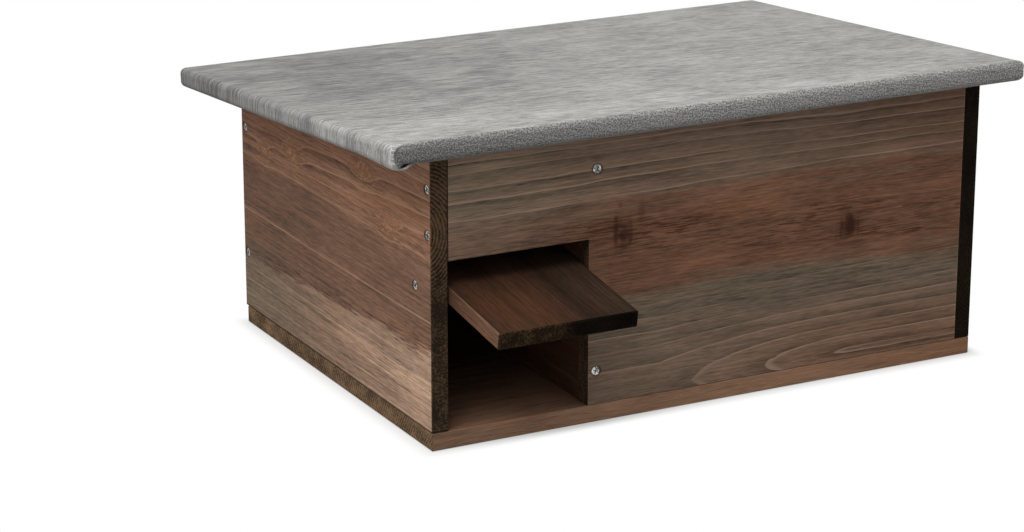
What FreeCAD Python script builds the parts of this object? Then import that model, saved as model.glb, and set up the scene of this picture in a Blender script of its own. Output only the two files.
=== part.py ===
import FreeCAD, Part
import os
import Sketcher
from FreeCAD import Placement, Rotation, Vector

# Hedgehog house: a timber box with a partition that makes an entrance tunnel, a flap that swings on two
# screws in the entrance, and a felt-covered roof that lifts on two butt hinges at the back.
# Millimetres. +X to the right, +Y to the back, +Z up, origin in the middle of the base board's underside.

# Driving dimensions
SIZES = {
    # Carcass
    "house_width": 398.5,
    "house_depth": 287.0,
    "base_setback": 2.5,
    "base_thickness": 11.4,
    "board_thickness": 11.4,
    "front_height": 175.7,
    "roof_slope": 4.17,
    "edge_ease": 0.5,
    # Entrance tunnel
    "entrance_width": 97.0,
    "entrance_height": 108.5,
    "partition_length": 150.0,
    # Entrance flap
    "flap_thickness": 10.8,
    "flap_side_gap": 1.3,
    "flap_head_gap": 4.0,
    "flap_floor_gap": 2.3,
    "flap_edge_ease": 0.8,
    "flap_tilt": 8.55,
    "pivot_setback": 22.1,
    "pivot_drop": 19.5,
    "pivot_clearance": 0.05,
    # Roof
    "roof_left_overhang": 33.25,
    "roof_right_overhang": 23.25,
    "roof_front_overhang": 15.74,
    "roof_back_margin": 8.4,
    "roof_board_thickness": 10.8,
    "roof_edge_radius": 2.8,
    "roof_seat_gap": 0.2,
    "felt_thickness": 1.2,
    "hem_clearance": 0.6,
    # Staples under the roof's hem
    "staple_crown": 10.0,
    "staple_wire": 0.7,
    "staple_width": 1.1,
    "staple_leg": 6.0,
    "staple_inset": 7.0,
    "staple_front_inset": 9.0,
    "staple_end_margin": 30.0,
    # Carcass screws
    "screw_diameter": 3.0,
    "screw_length": 30.0,
    "screw_head": 5.6,
    "screw_tip": 4.0,
    "screw_recess": 0.5,
    "screw_clearance": 0.1,
    "screw_end_gap": 1.0,
    "cross_length": 3.2,
    "cross_width": 0.8,
    "cross_depth": 1.3,
    "side_screw_inset": 5.0,
    "left_front_drop": 22.3,
    "left_front_rise": 16.3,
    "right_front_drop": 33.1,
    "right_front_low": 46.3,
    "side_back_drop": 27.7,
    "side_back_low": 38.9,
    "front_screw_drop": 22.2,
    "front_screw_low": 22.1,
    "base_screw_inset": 4.8,
    "side_base_margin": 45.0,
    "wall_base_margin": 60.0,
    "partition_base_margin": 45.0,
    # Hinges
    "hinge_end_margin": 79.25,
    "hinge_length": 36.0,
    "hinge_leaf_width": 15.0,
    "hinge_leaf_thickness": 1.2,
    "hinge_pin": 2.5,
    "hinge_pin_clearance": 0.05,
    "hinge_knuckle_gap": 0.4,
    "hinge_stand_gap": 0.3,
    "hinge_pin_ease": 0.3,
    "hinge_screw_spacing": 22.0,
    "hinge_screw_offset": 9.5,
    "hinge_screw_diameter": 2.4,
    "hinge_screw_length": 9.0,
    "hinge_screw_head": 4.2,
    "hinge_screw_tip": 2.0,
    "hinge_screw_recess": 0.1,
    "hinge_screw_clearance": 0.05,
    "hinge_cross_length": 2.4,
    "hinge_cross_width": 0.6,
    "hinge_cross_depth": 0.6,
}

# Dimensions worked out from the driving ones
WORKED = {
    "base_depth": "house_depth - base_setback",
    "front_face": "-base_depth / 2",
    "back_face": "front_face + house_depth",
    "left_face": "-house_width / 2",
    "right_face": "house_width / 2",
    "inner_width": "house_width - 2 * board_thickness",
    "inner_left": "left_face + board_thickness",
    "inner_right": "right_face - board_thickness",
    "inner_front": "front_face + board_thickness",
    "inner_back": "back_face - board_thickness",
    "fall": "tan(roof_slope)",
    "back_height": "front_height - house_depth * fall",
    "front_panel_height": "front_height - board_thickness * fall",
    "partition_end_height": "front_panel_height - partition_length * fall",
    "partition_left": "inner_left + entrance_width",
    "partition_middle": "partition_left + board_thickness / 2",
    "partition_right": "partition_left + board_thickness",
    # Entrance flap
    "pivot_x": "inner_left + entrance_width / 2",
    "pivot_y": "front_face + pivot_setback",
    "pivot_height": "entrance_height - pivot_drop",
    "pivot_z": "base_thickness + pivot_height",
    "flap_width": "entrance_width - 2 * flap_side_gap",
    "flap_reach": "pivot_height - flap_floor_gap",
    "flap_tail": "pivot_drop - flap_head_gap",
    "flap_bore": "screw_diameter + 2 * pivot_clearance",
    "flap_bore_depth": "screw_reach - board_thickness - flap_side_gap + screw_end_gap",
    # Carcass screws
    "screw_hole": "screw_diameter + 2 * screw_clearance",
    "screw_sink": "screw_head + 2 * (screw_recess + screw_clearance)",
    "screw_reach": "screw_length + screw_recess",
    "pilot_depth": "screw_reach - board_thickness + screw_end_gap",
    "base_pilot_depth": "screw_reach - base_thickness + screw_end_gap",
    "base_screw_left": "inner_left - base_screw_inset",
    "base_screw_right": "inner_right + base_screw_inset",
    "base_screw_front": "inner_front - base_screw_inset",
    "base_screw_back": "inner_back + base_screw_inset",
    "side_base_front": "front_face + side_base_margin",
    "side_base_middle": "front_face + house_depth / 2",
    "side_base_back": "back_face - side_base_margin",
    "wall_base_left": "partition_right + wall_base_margin",
    "wall_base_right": "inner_right - wall_base_margin",
    "back_base_left": "inner_left + wall_base_margin",
    "partition_base_front": "inner_front + partition_base_margin",
    "partition_base_back": "inner_front + partition_length - partition_base_margin / 2",
    "back_screw_y": "house_depth - side_screw_inset",
    "left_front_high": "front_height - left_front_drop",
    "left_front_low": "entrance_height + left_front_rise",
    "right_front_high": "front_height - right_front_drop",
    "side_back_high": "back_height - side_back_drop",
    "front_screw_high": "front_panel_height - front_screw_drop",
    # Roof, in its own sloping frame
    "wall_run": "house_depth / cos(roof_slope)",
    "roof_back_overhang": "pin_run + hinge_leaf_width + roof_back_margin",
    "roof_length": "house_width + roof_left_overhang + roof_right_overhang",
    "roof_depth": "wall_run + roof_front_overhang + roof_back_overhang",
    "roof_shift": "(roof_left_overhang - roof_right_overhang) / 2",
    "roof_seat_height": "base_thickness + back_height + roof_seat_gap",
    "roof_front_reach": "wall_run + roof_front_overhang",
    "roof_half": "roof_length / 2",
    "felt_edge_radius": "roof_edge_radius + felt_thickness",
    "felt_height": "roof_board_thickness + 2 * felt_thickness",
    "hem_left": "left_face + roof_shift - hem_clearance",
    "hem_right": "right_face + roof_shift + hem_clearance",
    "hem_front": "-wall_run - hem_clearance",
    "staple_row": "roof_half - staple_inset",
    "staple_front": "staple_front_inset - roof_front_reach",
    "staple_back": "roof_back_overhang - staple_inset",
    "staple_run": "roof_length - 2 * staple_end_margin",
    "staple_side_run": "roof_depth - 2 * staple_end_margin",
    "staple_middle": "roof_back_overhang - roof_depth / 2",
    # Hinges
    "hinge_spacing": "house_width - 2 * hinge_end_margin",
    "hinge_bore": "hinge_pin + 2 * hinge_pin_clearance",
    "hinge_knuckle": "hinge_bore + 2 * hinge_leaf_thickness",
    "hinge_stand": "hinge_knuckle / 2 + hinge_stand_gap",
    "hinge_tab": "hinge_knuckle / 2 + hinge_knuckle_gap",
    "hinge_third": "hinge_length / 6",
    "hinge_outer": "hinge_third + hinge_knuckle_gap / 2",
    "hinge_inner": "hinge_third - hinge_knuckle_gap / 2",
    "pin_drop": "felt_thickness + hinge_stand",
    "pin_run": "(hinge_stand + pin_drop * sin(roof_slope)) / cos(roof_slope)",
    "pin_y": "back_face + hinge_stand",
    "pin_z": "roof_seat_height - pin_run * sin(roof_slope) - pin_drop * cos(roof_slope)",
    "hinge_hole": "hinge_screw_diameter + 2 * hinge_screw_clearance",
    "hinge_sink": "hinge_screw_head + 2 * (hinge_screw_recess + hinge_screw_clearance)",
    "hinge_screw_reach": "hinge_screw_length + hinge_screw_recess",
    "hinge_pilot_depth": "hinge_screw_reach - hinge_leaf_thickness + screw_end_gap",
    "hinge_screw_z": "pin_z - hinge_screw_offset",
    "hinge_screw_row": "pin_run + hinge_screw_offset",
}

FRONT_STAPLES = 7
SIDE_STAPLES = 5
SCREW_TURN = 37.0

doc = FreeCAD.newDocument("hedgehog_house")
sheet = doc.addObject("Spreadsheet::Sheet", "Dim")
for row, (alias, number) in enumerate(SIZES.items(), start=1):
    sheet.set(f"A{row}", alias)
    sheet.set(f"B{row}", str(number))
    sheet.setAlias(f"B{row}", alias)
for row, (alias, formula) in enumerate(WORKED.items(), start=len(SIZES) + 1):
    sheet.set(f"A{row}", alias)
    sheet.set(f"B{row}", "=" + formula)
    sheet.setAlias(f"B{row}", alias)
doc.recompute()

nodes = []


def bind(thing, prop, expression):
    """Ties a property to the sheet."""
    thing.setExpression(prop, expression)


def place(thing, x="0", y="0", z="0", axis=None, angle=None):
    """Places an object by expressions, turned about an axis by an angle of the sheet where one is given."""
    if axis is not None:
        thing.Placement = Placement(Vector(), Rotation(axis, 1.0))
        bind(thing, "Placement.Rotation.Angle", angle)
    bind(thing, "Placement.Base.x", x)
    bind(thing, "Placement.Base.y", y)
    bind(thing, "Placement.Base.z", z)


def node(thing, label):
    """Names an object as one of the house's pieces."""
    thing.Label = label
    nodes.append(thing)
    return thing


def new_body(label, x="0", y="0", z="0", axis=None, angle=None):
    body = doc.addObject("PartDesign::Body", label)
    place(body, x, y, z, axis, angle)
    return body


def sketch_on(body, plane, name, offset=None):
    """Starts a sketch on one of the body's own origin planes, moved along its normal by an offset."""
    sketch = body.newObject("Sketcher::SketchObject", name)
    support = next(f for f in body.Origin.OriginFeatures if f.Role == plane + "_Plane")
    sketch.AttachmentSupport = (support, [""])
    sketch.MapMode = "FlatFace"
    if offset is not None:
        bind(sketch, "AttachmentOffset.Base.z", offset)
    return sketch


def pin_point(sketch, geometry, point, x, y):
    """Fixes a point of the sketch at a pair of expressions."""
    for kind, expression in (("DistanceX", x), ("DistanceY", y)):
        number = float(sheet.evalExpression(expression))
        index = sketch.addConstraint(Sketcher.Constraint(kind, -1, 1, geometry, point, number))
        bind(sketch, f"Constraints[{index}]", expression)


def outline(body, plane, name, points, offset=None):
    """Closed outline through points given as pairs of expressions."""
    sketch = sketch_on(body, plane, name, offset)
    spots = [Vector(float(sheet.evalExpression(x)), float(sheet.evalExpression(y)), 0) for x, y in points]
    for start, end in zip(spots, spots[1:] + spots[:1]):
        sketch.addGeometry(Part.LineSegment(start, end))
    for index in range(len(points)):
        after = (index + 1) % len(points)
        sketch.addConstraint(Sketcher.Constraint("Coincident", index, 2, after, 1))
    for index, (x, y) in enumerate(points):
        pin_point(sketch, index, 1, x, y)
    return sketch


def circles(body, plane, name, centres, diameter, offset=None):
    """Circles of one diameter, with their centres given as pairs of expressions."""
    sketch = sketch_on(body, plane, name, offset)
    size = float(sheet.evalExpression(diameter))
    for x, y in centres:
        spot = Vector(float(sheet.evalExpression(x)), float(sheet.evalExpression(y)), 0)
        ring = sketch.addGeometry(Part.Circle(spot, Vector(0, 0, 1), size / 2))
        pin_point(sketch, ring, 3, x, y)
        index = sketch.addConstraint(Sketcher.Constraint("Diameter", ring, size))
        bind(sketch, f"Constraints[{index}]", diameter)
    return sketch


def box_outline(low_x, low_y, high_x, high_y):
    """The four corners of a rectangle, as expressions."""
    return [(low_x, low_y), (high_x, low_y), (high_x, high_y), (low_x, high_y)]


def pad(body, sketch, length, name, reverse=False, both_sides=False):
    feature = body.newObject("PartDesign::Pad", name)
    feature.Profile = sketch
    feature.Reversed = reverse
    feature.Midplane = both_sides
    bind(feature, "Length", length)
    doc.recompute()
    return feature


def pocket(body, sketch, depth, name, reverse=False):
    """Cuts a sketch to a depth, and stops if nothing was cut."""
    before = body.Shape.Volume
    feature = body.newObject("PartDesign::Pocket", name)
    feature.Profile = sketch
    feature.Reversed = reverse
    bind(feature, "Length", depth)
    doc.recompute()
    if not body.Shape.Volume < before:
        raise RuntimeError(f"{name} cuts nothing from {body.Label}")
    return feature


def ease(body, base, size, kind="PartDesign::Chamfer", prop="Size"):
    """Takes the sharpness off every edge of a board."""
    feature = body.newObject(kind, "eased_edges")
    feature.Base = (base, [""])
    feature.UseAllEdges = True
    bind(feature, prop, size)
    doc.recompute()
    return feature


def sunk_holes(body, plane, name, centres, hole, sink, reverse=False, offset=None):
    """Countersunk holes right through a board."""
    sketch = circles(body, plane, name + "_centres", centres, hole, offset)
    doc.recompute()
    before = body.Shape.Volume
    feature = body.newObject("PartDesign::Hole", name)
    feature.Profile = sketch
    feature.Threaded = False
    feature.Reversed = reverse
    feature.DepthType = "ThroughAll"
    feature.HoleCutType = "Countersink"
    feature.HoleCutCustomValues = True
    feature.HoleCutCountersinkAngle = 90.0
    bind(feature, "Diameter", hole)
    bind(feature, "HoleCutDiameter", sink)
    doc.recompute()
    if not body.Shape.Volume < before:
        raise RuntimeError(f"{name} cuts nothing from {body.Label}")


def pilot_holes(body, plane, name, centres, depth, reverse=False, offset=None, hole="Dim.screw_hole"):
    """Blind holes that the screws' points go into."""
    pocket(body, circles(body, plane, name + "_centres", centres, hole, offset), depth, name, reverse)


def base_board():
    body = new_body("base_board")
    edge = box_outline("Dim.left_face", "Dim.front_face", "Dim.right_face", "-Dim.front_face")
    board = pad(body, outline(body, "XY", "base_outline", edge), "Dim.base_thickness", "board")
    ease(body, board, "Dim.edge_ease")
    sunk_holes(body, "XY", "base_holes", base_screw_spots(), "Dim.screw_hole", "Dim.screw_sink", reverse=True)
    return node(body, "base_board")


def base_screw_spots():
    """Where the screws from below stand: under both sides, the front, the back and the partition."""
    along_sides = ("Dim.side_base_front", "Dim.side_base_middle", "Dim.side_base_back")
    spots = [("Dim.base_screw_left", y) for y in along_sides]
    spots += [("Dim.base_screw_right", y) for y in along_sides]
    spots += [(x, "Dim.base_screw_front") for x in ("Dim.wall_base_left", "Dim.wall_base_right")]
    spots += [(x, "Dim.base_screw_back") for x in ("Dim.back_base_left", "Dim.wall_base_right")]
    spots += [("Dim.partition_middle", y) for y in ("Dim.partition_base_front", "Dim.partition_base_back")]
    return spots


def side_screw_spots(front_heights):
    """Depth and height of the screws in a side panel, from its lower front corner."""
    spots = [("Dim.side_screw_inset", z) for z in front_heights]
    return spots + [("Dim.back_screw_y", z) for z in BACK_HEIGHTS]


LEFT_HEIGHTS = ("Dim.left_front_high", "Dim.left_front_low")
RIGHT_HEIGHTS = ("Dim.right_front_high", "Dim.right_front_low")
BACK_HEIGHTS = ("Dim.side_back_high", "Dim.side_back_low")
FRONT_HEIGHTS = ("Dim.front_screw_high", "Dim.front_screw_low")
PIVOT_SPOT = ("Dim.pivot_setback", "Dim.pivot_height")


def side_panel(label, outer, spots, base_line, mirrored):
    """A side panel, cut to the roof's slope along its top, with its outer face on its own YZ plane."""
    body = new_body(label, outer, "Dim.front_face", "Dim.base_thickness")
    shape = [("0", "0"), ("Dim.house_depth", "0"),
             ("Dim.house_depth", "Dim.back_height"), ("0", "Dim.front_height")]
    profile = outline(body, "YZ", label + "_outline", shape)
    board = pad(body, profile, "Dim.board_thickness", "board", reverse=mirrored)
    ease(body, board, "Dim.edge_ease")
    sunk_holes(body, "YZ", "side_holes", spots, "Dim.screw_hole", "Dim.screw_sink", reverse=not mirrored)
    under = [(f"{base_line} - {outer}", f"{y} - Dim.front_face")
             for y in ("Dim.side_base_front", "Dim.side_base_middle", "Dim.side_base_back")]
    pilot_holes(body, "XY", "base_pilots", under, "Dim.base_pilot_depth", reverse=True)
    return node(body, label)


def front_panel():
    """The front, between the sides, with the entrance cut out of its lower left corner."""
    body = new_body("front_panel", "Dim.inner_left", "Dim.front_face", "Dim.base_thickness")
    edge = box_outline("0", "0", "Dim.inner_width", "Dim.front_panel_height")
    sketch = outline(body, "XZ", "front_outline", edge)
    board = pad(body, sketch, "Dim.board_thickness", "board", reverse=True)
    ease(body, board, "Dim.edge_ease")
    mouth = box_outline("0", "0", "Dim.entrance_width", "Dim.entrance_height")
    pocket(body, outline(body, "XZ", "entrance_outline", mouth), "Dim.board_thickness", "entrance")
    spots = [("Dim.partition_middle - Dim.inner_left", z) for z in FRONT_HEIGHTS]
    sunk_holes(body, "XZ", "front_holes", spots, "Dim.screw_hole", "Dim.screw_sink")
    left = [("Dim.side_screw_inset", z) for z in LEFT_HEIGHTS]
    right = [("Dim.side_screw_inset", z) for z in RIGHT_HEIGHTS]
    pilot_holes(body, "YZ", "left_pilots", left, "Dim.pilot_depth", reverse=True)
    pilot_holes(body, "YZ", "right_pilots", right, "Dim.pilot_depth", offset="Dim.inner_width")
    under = [(f"{x} - Dim.inner_left", "Dim.base_screw_front - Dim.front_face")
             for x in ("Dim.wall_base_left", "Dim.wall_base_right")]
    pilot_holes(body, "XY", "base_pilots", under, "Dim.base_pilot_depth", reverse=True)
    return node(body, "front_panel")


def back_panel():
    """The back, between the sides, with its outer face on its own XZ plane."""
    body = new_body("back_panel", "Dim.inner_left", "Dim.back_face", "Dim.base_thickness")
    edge = box_outline("0", "0", "Dim.inner_width", "Dim.back_height")
    board = pad(body, outline(body, "XZ", "back_outline", edge), "Dim.board_thickness", "board")
    ease(body, board, "Dim.edge_ease")
    ends = [("-Dim.side_screw_inset", z) for z in BACK_HEIGHTS]
    pilot_holes(body, "YZ", "left_pilots", ends, "Dim.pilot_depth", reverse=True)
    pilot_holes(body, "YZ", "right_pilots", ends, "Dim.pilot_depth", offset="Dim.inner_width")
    under = [(f"{x} - Dim.inner_left", "Dim.base_screw_back - Dim.back_face")
             for x in ("Dim.back_base_left", "Dim.wall_base_right")]
    pilot_holes(body, "XY", "base_pilots", under, "Dim.base_pilot_depth", reverse=True)
    height = "Dim.hinge_screw_z - Dim.base_thickness"
    leaves = [(f"{x} - Dim.inner_left", height) for x in hinge_screw_columns()]
    pilot_holes(body, "XZ", "hinge_pilots", leaves, "Dim.hinge_pilot_depth", reverse=True,
                hole="Dim.hinge_hole")
    return node(body, "back_panel")


def partition_wall():
    """The wall between tunnel and nest. It stops short of the back panel, which leaves the inner doorway."""
    body = new_body("partition_wall", "Dim.partition_left", "Dim.inner_front", "Dim.base_thickness")
    shape = [("0", "0"), ("Dim.partition_length", "0"),
             ("Dim.partition_length", "Dim.partition_end_height"), ("0", "Dim.front_panel_height")]
    board = pad(body, outline(body, "YZ", "partition_outline", shape), "Dim.board_thickness", "board")
    ease(body, board, "Dim.edge_ease")
    spot = [("Dim.pivot_setback - Dim.board_thickness", "Dim.pivot_height")]
    sunk_holes(body, "YZ", "pivot_hole", spot, "Dim.screw_hole", "Dim.screw_sink",
               offset="Dim.board_thickness")
    edge = [("Dim.board_thickness / 2", z) for z in FRONT_HEIGHTS]
    pilot_holes(body, "XZ", "front_pilots", edge, "Dim.pilot_depth")
    under = [("Dim.board_thickness / 2", f"{y} - Dim.inner_front")
             for y in ("Dim.partition_base_front", "Dim.partition_base_back")]
    pilot_holes(body, "XY", "base_pilots", under, "Dim.base_pilot_depth", reverse=True)
    return node(body, "partition_wall")


def entrance_flap():
    """The flap, drawn level about its pivot line and then tilted to where its screws hold it."""
    body = new_body("entrance_flap", "Dim.pivot_x", "Dim.pivot_y", "Dim.pivot_z",
                    Vector(1, 0, 0), "Dim.flap_tilt")
    edge = box_outline("-Dim.flap_width / 2", "-Dim.flap_reach", "Dim.flap_width / 2", "Dim.flap_tail")
    sketch = outline(body, "XY", "flap_outline", edge)
    board = pad(body, sketch, "Dim.flap_thickness", "board", both_sides=True)
    ease(body, board, "Dim.flap_edge_ease")
    depth = "Dim.flap_bore_depth"
    for side, inward, end in (("left", True, "-Dim.flap_width / 2"), ("right", False, "Dim.flap_width / 2")):
        pilot_holes(body, "YZ", side + "_bore", [("0", "0")], depth, inward, end, hole="Dim.flap_bore")
    return node(body, "entrance_flap")


def screw(label, prefix):
    """A countersunk screw with a cross recess, head uppermost at the origin, pointing down."""
    body = new_body(label)
    shank = f"Dim.{prefix}_diameter / 2"
    head = f"Dim.{prefix}_head / 2"
    profile = outline(body, "XZ", label + "_profile", [
        ("0", "0"),
        (head, "0"),
        (shank, f"{shank} - {head}"),
        (shank, f"Dim.{prefix}_tip - Dim.{prefix}_length"),
        ("0", f"-Dim.{prefix}_length"),
    ])
    turned = body.newObject("PartDesign::Revolution", "turned")
    turned.Profile = profile
    turned.ReferenceAxis = (profile, ["V_Axis"])
    turned.Angle = 360.0
    doc.recompute()
    cross = prefix.replace("screw", "cross")
    long_half = f"Dim.{cross}_length / 2"
    short_half = f"Dim.{cross}_width / 2"
    for name, half_x, half_y in (("arm", long_half, short_half), ("second_arm", short_half, long_half)):
        edge = box_outline("-" + half_x, "-" + half_y, half_x, half_y)
        pocket(body, outline(body, "XY", name + "_outline", edge), f"Dim.{cross}_depth", name)
    body.Label = label
    return body


def copies(label, master, spots, drive=None, x="0", y="0", z="0", axis=None, angle=None):
    """A group of like pieces: copies of a master at places given as expressions, each with a turn of its own.
    Screws point along drive, and each has turned by a different amount when it was driven home."""
    links = []
    for index, (spot, turn) in enumerate(spots):
        link = doc.addObject("App::Link", f"{label}_{index + 1}")
        link.LinkedObject = master
        spin = Rotation(Vector(0, 0, 1), turn)
        link.Placement = Placement(Vector(), Rotation(Vector(0, 0, -1), drive) * spin if drive else spin)
        for letter, expression in zip("xyz", spot):
            bind(link, f"Placement.Base.{letter}", expression)
        links.append(link)
    group = doc.addObject("Part::Compound", label)
    group.Links = links
    place(group, x, y, z, axis, angle)
    return node(group, label)


def driven(spots):
    """Gives each screw of a group its own turn."""
    return [(spot, SCREW_TURN * (index + 1)) for index, spot in enumerate(spots)]


def carcass_screws():
    """Countersunk screws that hold the boards together. Their heads lie just below the surface."""
    master = screw("carcass_screw", "screw")
    front = [("Dim.partition_middle", "Dim.front_face + Dim.screw_recess", f"Dim.base_thickness + {z}")
             for z in FRONT_HEIGHTS]
    copies("front_panel_screws", master, driven(front), Vector(0, 1, 0))
    sides = (
        ("left_side_screws", LEFT_HEIGHTS, "Dim.left_face + Dim.screw_recess", Vector(1, 0, 0)),
        ("right_side_screws", RIGHT_HEIGHTS, "Dim.right_face - Dim.screw_recess", Vector(-1, 0, 0)),
    )
    for label, heights, x, drive in sides:
        spots = [(x, f"Dim.front_face + {y}", f"Dim.base_thickness + {z}")
                 for y, z in side_screw_spots(heights)]
        copies(label, master, driven(spots), drive)
    base = [(x, y, "Dim.screw_recess") for x, y in base_screw_spots()]
    copies("base_screws", master, driven(base), Vector(0, 0, 1))
    left = [("Dim.left_face + Dim.screw_recess", "Dim.pivot_y", "Dim.pivot_z")]
    right = [("Dim.partition_right - Dim.screw_recess", "Dim.pivot_y", "Dim.pivot_z")]
    copies("flap_pivot_screw_left", master, driven(left), Vector(1, 0, 0))
    copies("flap_pivot_screw_right", master, driven(right), Vector(-1, 0, 0))


ROOF_FRAME = {
    "x": "-Dim.roof_shift",
    "y": "Dim.back_face",
    "z": "Dim.roof_seat_height",
    "axis": Vector(-1, 0, 0),
    "angle": "Dim.roof_slope",
}


def hinge_screw_columns():
    """Where the hinges' screws stand across the house."""
    half = "Dim.hinge_screw_spacing / 2"
    return [f"{side}Dim.hinge_spacing / 2 {hand} {half}" for side in ("-", "") for hand in "-+"]


def roof_hinge_spots():
    """Where the hinges' screws enter the roof, in the roof's own frame."""
    return [(f"{x} + Dim.roof_shift", "Dim.hinge_screw_row") for x in hinge_screw_columns()]


def roof_board():
    """The roof's board, its underside on the roof frame's XY plane, with rounded edges."""
    body = new_body("roof_board", **ROOF_FRAME)
    edge = box_outline(
        "Dim.felt_thickness - Dim.roof_half", "Dim.felt_thickness - Dim.roof_front_reach",
        "Dim.roof_half - Dim.felt_thickness", "Dim.roof_back_overhang - Dim.felt_thickness",
    )
    board = pad(body, outline(body, "XY", "roof_outline", edge), "Dim.roof_board_thickness", "board")
    ease(body, board, "Dim.roof_edge_radius", "PartDesign::Fillet", "Radius")
    depth = "Dim.hinge_pilot_depth - Dim.felt_thickness"
    pilot_holes(body, "XY", "hinge_pilots", roof_hinge_spots(), depth, reverse=True, hole="Dim.hinge_hole")
    return node(body, "roof_board")


def roof_felt(board):
    """The felt: a skin over the board, round its edges and under them as a hem that clears the walls."""
    body = new_body("felt_blank", **ROOF_FRAME)
    edge = box_outline("-Dim.roof_half", "-Dim.roof_front_reach", "Dim.roof_half", "Dim.roof_back_overhang")
    sketch = outline(body, "XY", "felt_outline", edge, "-Dim.felt_thickness")
    blank = pad(body, sketch, "Dim.felt_height", "blank")
    ease(body, blank, "Dim.felt_edge_radius", "PartDesign::Fillet", "Radius")
    window = box_outline("Dim.hem_left", "Dim.hem_front", "Dim.hem_right", "Dim.hem_clearance")
    sketch = outline(body, "XY", "window_outline", window, "-Dim.felt_thickness")
    pocket(body, sketch, "Dim.felt_thickness", "window", reverse=True)
    pilot_holes(body, "XY", "hinge_holes", roof_hinge_spots(), "Dim.hinge_pilot_depth", reverse=True,
                offset="-Dim.felt_thickness", hole="Dim.hinge_hole")
    felt = doc.addObject("Part::Cut", "roof_felt")
    felt.Base = body
    felt.Tool = board
    doc.recompute()
    return node(felt, "roof_felt")


def felt_staples():
    """Staples through the hem into the board, in a row along each edge."""
    master = new_body("staple")
    half = "Dim.staple_crown / 2"
    shape = [
        ("-" + half, "-Dim.staple_wire"),
        (half, "-Dim.staple_wire"),
        (half, "Dim.staple_leg"),
        (f"{half} - Dim.staple_wire", "Dim.staple_leg"),
        (f"{half} - Dim.staple_wire", "0"),
        (f"Dim.staple_wire - {half}", "0"),
        (f"Dim.staple_wire - {half}", "Dim.staple_leg"),
        ("-" + half, "Dim.staple_leg"),
    ]
    sketch = outline(master, "XZ", "staple_outline", shape)
    pad(master, sketch, "Dim.staple_width", "wire", both_sides=True)
    master.Label = "staple"
    spots = []
    for index in range(FRONT_STAPLES):
        along = f"Dim.staple_run * ({index} / {FRONT_STAPLES - 1} - 0.5)"
        spots += [((along, y, "-Dim.felt_thickness"), 0.0) for y in ("Dim.staple_front", "Dim.staple_back")]
    for index in range(SIDE_STAPLES):
        share = f"({index} / {SIDE_STAPLES - 1} - 0.5)"
        along = f"Dim.staple_middle + Dim.staple_side_run * {share}"
        spots += [((x, along, "-Dim.felt_thickness"), 90.0) for x in ("-Dim.staple_row", "Dim.staple_row")]
    copies("felt_staples", master, spots, **ROOF_FRAME)


def knuckles(body, spans):
    """Pads a knuckle round the hinge line over each span and bores them all for the pin."""
    for index, (start, length) in enumerate(spans):
        ring = circles(body, "YZ", f"knuckle_outline_{index + 1}", [("0", "0")], "Dim.hinge_knuckle", start)
        pad(body, ring, length, f"knuckle_{index + 1}")
    bore = circles(body, "YZ", "bore_outline", [("0", "0")], "Dim.hinge_bore", "-Dim.hinge_length / 2")
    pocket(body, bore, "Dim.hinge_length", "bore", reverse=True)


def wall_leaf(label, x):
    """The fixed leaf: a plate on the back panel with two outer knuckles."""
    body = new_body(label, x, "Dim.pin_y", "Dim.pin_z")
    end = "Dim.hinge_length / 2"
    low = "-Dim.hinge_leaf_width"
    shoulder = "-Dim.hinge_tab"
    shape = [
        ("-" + end, low), (end, low), (end, "0"), ("Dim.hinge_outer", "0"), ("Dim.hinge_outer", shoulder),
        ("-Dim.hinge_outer", shoulder), ("-Dim.hinge_outer", "0"), ("-" + end, "0"),
    ]
    sketch = outline(body, "XZ", label + "_outline", shape, "Dim.hinge_stand")
    pad(body, sketch, "Dim.hinge_leaf_thickness", "plate", reverse=True)
    length = "Dim.hinge_length / 2 - Dim.hinge_outer"
    knuckles(body, [("-Dim.hinge_length / 2", length), ("Dim.hinge_outer", length)])
    spots = [("-Dim.hinge_screw_spacing / 2", "-Dim.hinge_screw_offset"),
             ("Dim.hinge_screw_spacing / 2", "-Dim.hinge_screw_offset")]
    sunk_holes(body, "XZ", "leaf_holes", spots, "Dim.hinge_hole", "Dim.hinge_sink", reverse=True,
               offset="Dim.hinge_stand - Dim.hinge_leaf_thickness")
    return node(body, label)


def roof_leaf(label, x):
    """The moving leaf: a plate under the roof's hem with one middle knuckle."""
    body = new_body(label, x, "Dim.pin_y", "Dim.pin_z", Vector(-1, 0, 0), "Dim.roof_slope")
    end = "Dim.hinge_length / 2"
    far = "Dim.hinge_leaf_width"
    shoulder = "Dim.hinge_tab"
    shape = [
        ("-" + end, shoulder), ("-Dim.hinge_inner", shoulder), ("-Dim.hinge_inner", "0"),
        ("Dim.hinge_inner", "0"), ("Dim.hinge_inner", shoulder), (end, shoulder),
        (end, far), ("-" + end, far),
    ]
    sketch = outline(body, "XY", label + "_outline", shape, "Dim.hinge_stand")
    pad(body, sketch, "Dim.hinge_leaf_thickness", "plate", reverse=True)
    knuckles(body, [("-Dim.hinge_inner", "2 * Dim.hinge_inner")])
    spots = [("-Dim.hinge_screw_spacing / 2", "Dim.hinge_screw_offset"),
             ("Dim.hinge_screw_spacing / 2", "Dim.hinge_screw_offset")]
    sunk_holes(body, "XY", "leaf_holes", spots, "Dim.hinge_hole", "Dim.hinge_sink", reverse=True,
               offset="Dim.hinge_stand - Dim.hinge_leaf_thickness")
    return node(body, label)


def hinge_pin(label, x):
    """The pin, as long as the knuckles, with eased ends."""
    body = new_body(label, x, "Dim.pin_y", "Dim.pin_z")
    ring = circles(body, "YZ", label + "_outline", [("0", "0")], "Dim.hinge_pin")
    wire = pad(body, ring, "Dim.hinge_length", "wire", both_sides=True)
    ease(body, wire, "Dim.hinge_pin_ease")
    return node(body, label)


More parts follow.
